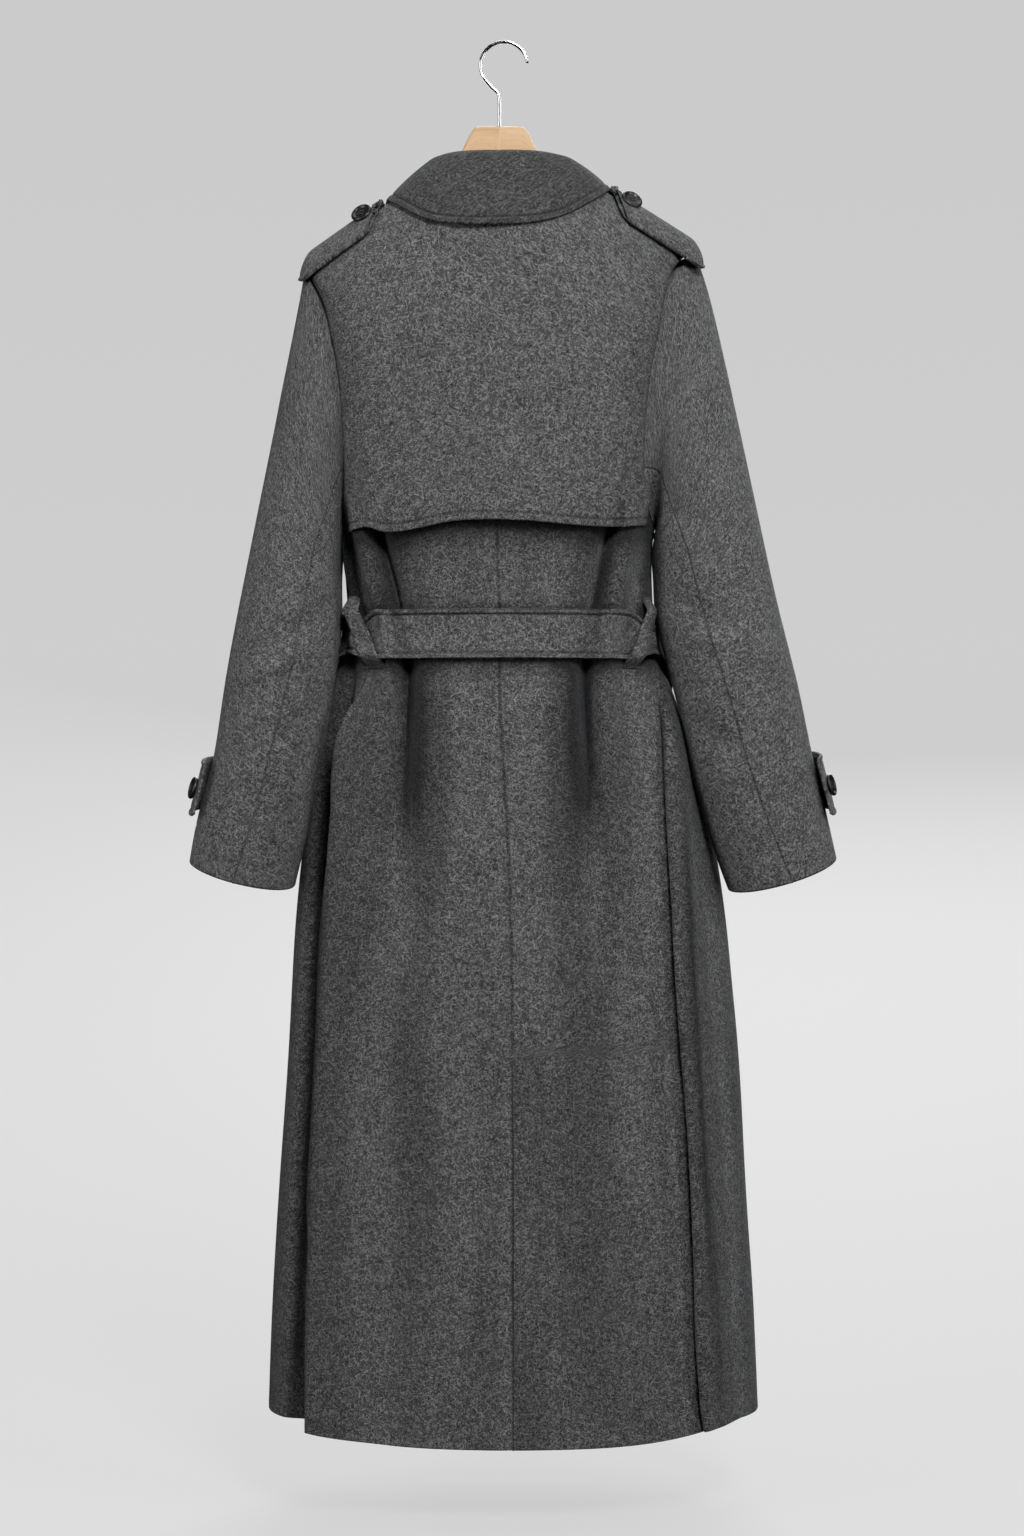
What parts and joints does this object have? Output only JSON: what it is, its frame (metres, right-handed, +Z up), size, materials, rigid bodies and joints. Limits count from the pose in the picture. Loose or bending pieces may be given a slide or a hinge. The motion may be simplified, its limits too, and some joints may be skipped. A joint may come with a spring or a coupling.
{
  "type": "trench coat on a hanger",
  "caption": "Long belted wool trench coat with storm flap, shoulder and cuff straps, double-breasted front and back vent, hanging on a wooden hanger.",
  "frame": {"origin": "inside top of the hanger's hook, where a rail carries it", "axes": "+Z up along the coat's length, the back of the coat faces -Y, the wearer's left side is at -X"},
  "size_m": [0.6369, 0.2658, 1.3804],
  "materials": {
    "wool": "matt",
    "button": "glossy",
    "beech": "satin",
    "hook_metal": "polished"
  },
  "bodies": {
    "root": {"back_left": "wool", "front_left": "wool", "sleeve_left_upper": "wool", "sleeve_left_under": "wool", "lapel_left": "wool", "shoulder_strap_left": "wool", "cuff_strap_left": "wool", "belt_left": "wool", "belt_loop_left": "wool", "belt_end_left": "wool", "back_right": "wool", "front_right": "wool", "sleeve_right_upper": "wool", "sleeve_right_under": "wool", "lapel_right": "wool", "shoulder_strap_right": "wool", "cuff_strap_right": "wool", "belt_right": "wool", "belt_loop_right": "wool", "belt_end_right": "wool", "storm_flap": "wool", "collar_fall": "wool", "collar_stand": "wool", "belt_back": "wool", "belt_knot": "wool", "shoulder_button_left": "button", "shoulder_button_right": "button", "cuff_button_left": "button", "cuff_button_right": "button", "front_button_left_1": "button", "front_button_left_2": "button", "front_button_left_3": "button", "front_button_right_1": "button", "front_button_right_2": "button", "front_button_right_3": "button", "hanger_left": "beech", "hanger_right": "beech", "hanger_hook": "hook_metal"}
  },
  "joints": []
}
